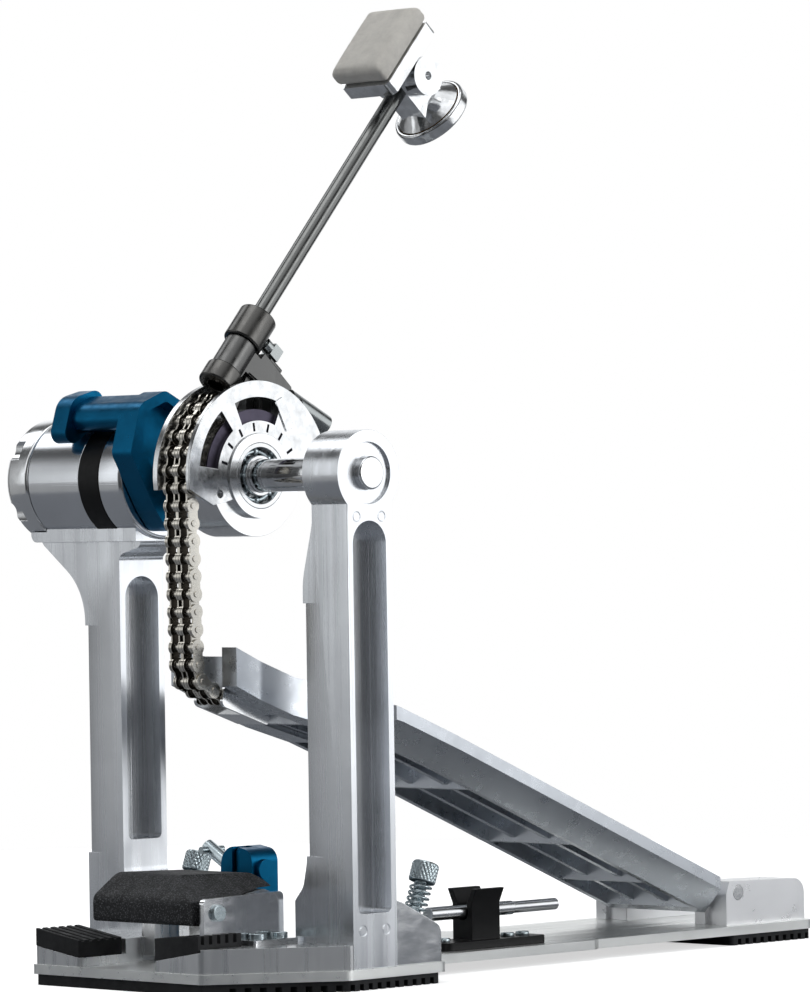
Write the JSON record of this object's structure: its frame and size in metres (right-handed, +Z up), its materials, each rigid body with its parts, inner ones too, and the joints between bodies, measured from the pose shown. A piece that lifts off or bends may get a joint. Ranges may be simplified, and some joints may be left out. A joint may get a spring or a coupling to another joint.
{
  "type": "bass drum pedal",
  "caption": "Chain-drive bass drum pedal: footboard, open upright, spring housing with blue lever, hoop clamp, spurs and tilted two-sided beater.",
  "frame": {"origin": "on the floor, straight under the middle of the axle", "axes": "+X along the axle towards the open upright, -Y towards the drum, +Z up"},
  "size_m": [0.1722, 0.3284, 0.357],
  "materials": {
    "polished_alloy": "polished",
    "satin_alloy": "satin",
    "plate_steel": "satin",
    "blue_anodised": "satin",
    "chain_nickel": "polished",
    "bright_steel": "polished",
    "zinc_steel": "satin",
    "gun_metal": "satin",
    "black_rubber": "matte",
    "black_plastic": "matte",
    "grey_felt": "matte",
    "brown_insert": "gloss"
  },
  "bodies": {
    "frame": {"base_plate": "plate_steel", "front_foot_rubber": "black_rubber", "heel_foot_rubber": "black_rubber", "front_yoke": "polished_alloy", "near_post": "polished_alloy", "far_post": "polished_alloy", "axle": "bright_steel", "bearing_inner_rings": "bright_steel", "spring_housing": "polished_alloy", "housing_band": "black_plastic", "return_spring": "zinc_steel", "left_hoop_pad": "black_rubber", "right_hoop_pad": "black_rubber", "clamp_bracket": "bright_steel", "clamp_screws": "zinc_steel", "jaw_hinge_pin": "zinc_steel", "clamp_block": "blue_anodised", "near_heel_bracket": "polished_alloy", "far_heel_bracket": "polished_alloy", "heel_pin": "bright_steel", "near_spur_block": "polished_alloy", "far_spur_block": "polished_alloy", "near_spur_spring": "zinc_steel", "far_spur_spring": "zinc_steel", "tool_clip": "black_plastic", "clip_rivets": "zinc_steel"},
    "drive": {"drive_wheel": "polished_alloy", "wheel_face_plate": "bright_steel", "bearing_outer_rings": "bright_steel", "bearing_cages": "zinc_steel", "drive_tube": "bright_steel", "beater_bracket": "satin_alloy", "upper_collar": "gun_metal", "lower_collar": "gun_metal", "key_screws": "zinc_steel", "angle_stop": "bright_steel", "chain_wheel_stretch": "chain_nickel"},
    "footboard": {"footboard": "satin_alloy", "hinge_barrel": "satin_alloy", "chain_clevis": "bright_steel", "chain_toe_stretch": "chain_nickel"},
    "chain_run": {"chain_run": "chain_nickel"},
    "chain_link_1": {"chain_link_1": "chain_nickel"},
    "chain_link_2": {"chain_link_2": "chain_nickel"},
    "chain_link_3": {"chain_link_3": "chain_nickel"},
    "chain_link_4": {"chain_link_4": "chain_nickel"},
    "chain_link_5": {"chain_link_5": "chain_nickel"},
    "beater_shaft": {"beater_shaft": "bright_steel"},
    "beater_head": {"head_casting": "bright_steel", "felt_pad": "grey_felt", "disc_rim": "bright_steel", "disc_insert": "brown_insert"},
    "tension_lever": {"tension_lever": "blue_anodised"},
    "tension_cap": {"tension_cap": "polished_alloy"},
    "clamp_jaw": {"jaw_lever": "zinc_steel", "jaw_cover": "black_rubber"},
    "clamp_screw": {"clamp_screw": "zinc_steel"},
    "near_spur": {"near_spur": "zinc_steel"},
    "far_spur": {"far_spur": "zinc_steel"},
    "tool": {"tool_rod": "zinc_steel"}
  },
  "joints": [
    {"name": "beater_drive", "type": "hinge", "parent": "frame", "child": "drive", "pos_m": [0, 0, 0.183], "axis": [1, 0, 0], "range_deg": [0, 45], "stiffness_Nm_per_rad": 0.6, "springref_deg": -34.38},
    {"name": "footboard_hinge", "type": "hinge", "parent": "frame", "child": "footboard", "pos_m": [0, 0.229, 0.02], "axis": [1, 0, 0], "range_deg": [0, 5.34]},
    {"name": "chain_run_bend", "type": "hinge", "parent": "footboard", "child": "chain_run", "pos_m": [0, -0.02848, 0.11528], "axis": [1, 0, 0], "range_deg": [-10.54, 0]},
    {"name": "chain_link_1_bend", "type": "hinge", "parent": "chain_run", "child": "chain_link_1", "pos_m": [0, -0.0302, 0.17876], "axis": [1, 0, 0], "range_deg": [0, 1.35]},
    {"name": "chain_link_2_bend", "type": "hinge", "parent": "chain_link_1", "child": "chain_link_2", "pos_m": [0, -0.03023, 0.1851], "axis": [1, 0, 0], "range_deg": [0, 10.51]},
    {"name": "chain_link_3_bend", "type": "hinge", "parent": "chain_link_2", "child": "chain_link_3", "pos_m": [0, -0.02913, 0.19134], "axis": [1, 0, 0], "range_deg": [0, 12.3]},
    {"name": "chain_link_4_bend", "type": "hinge", "parent": "chain_link_3", "child": "chain_link_4", "pos_m": [0, -0.02676, 0.19722], "axis": [1, 0, 0], "range_deg": [0, 12.3]},
    {"name": "chain_link_5_bend", "type": "hinge", "parent": "chain_link_4", "child": "chain_link_5", "pos_m": [0, -0.02321, 0.20248], "axis": [1, 0, 0], "range_deg": [0, 11.79]},
    {"name": "beater_height", "type": "slide", "parent": "drive", "child": "beater_shaft", "axis": [0, 0.6534, 0.757], "range_m": [-0.004, 0.03]},
    {"name": "beater_head_turn", "type": "hinge", "parent": "beater_shaft", "child": "beater_head", "pos_m": [0.00375, 0.0849, 0.3281], "axis": [0, 0.6534, 0.757], "range_deg": [-180, 180]},
    {"name": "tension_lever_turn", "type": "hinge", "parent": "frame", "child": "tension_lever", "pos_m": [0, 0, 0.183], "axis": [1, 0, 0], "range_deg": [0, 20]},
    {"name": "tension_cap_turn", "type": "hinge", "parent": "frame", "child": "tension_cap", "pos_m": [0, 0, 0.183], "axis": [1, 0, 0], "continuous": true},
    {"name": "clamp_screw_turn", "type": "hinge", "parent": "frame", "child": "clamp_screw", "pos_m": [-0.0132, 0.007, 0.041], "axis": [-0.866, 0, 0.5], "range_deg": [0, 1440]},
    {"name": "jaw_open", "type": "hinge", "parent": "frame", "child": "clamp_jaw", "pos_m": [0, -0.017, 0.029], "axis": [-1, 0, 0], "range_deg": [0, 12.2]},
    {"name": "near_spur_feed", "type": "slide", "parent": "frame", "child": "near_spur", "axis": [0, 0.3584, 0.9336], "range_m": [-0.0015, 0.004]},
    {"name": "far_spur_feed", "type": "slide", "parent": "frame", "child": "far_spur", "axis": [0, 0.3584, 0.9336], "range_m": [-0.0015, 0.004]},
    {"name": "tool_pull", "type": "slide", "parent": "frame", "child": "tool", "axis": [0, 1, 0], "range_m": [0, 0.048]}
  ],
  "couplings": [
    {"joint": "footboard_hinge", "follows": "beater_drive", "ratio": 0.11515},
    {"joint": "chain_run_bend", "follows": "beater_drive", "ratio": -0.22854},
    {"joint": "chain_link_1_bend", "follows": "beater_drive", "ratio": 0.028266},
    {"joint": "chain_link_2_bend", "follows": "beater_drive", "ratio": 0.22798},
    {"joint": "chain_link_3_bend", "follows": "beater_drive", "ratio": 0.26683},
    {"joint": "chain_link_4_bend", "follows": "beater_drive", "ratio": 0.26683},
    {"joint": "chain_link_5_bend", "follows": "beater_drive", "ratio": 0.25579},
    {"joint": "jaw_open", "follows": "clamp_screw_turn", "ratio": 0.0083333}
  ]
}
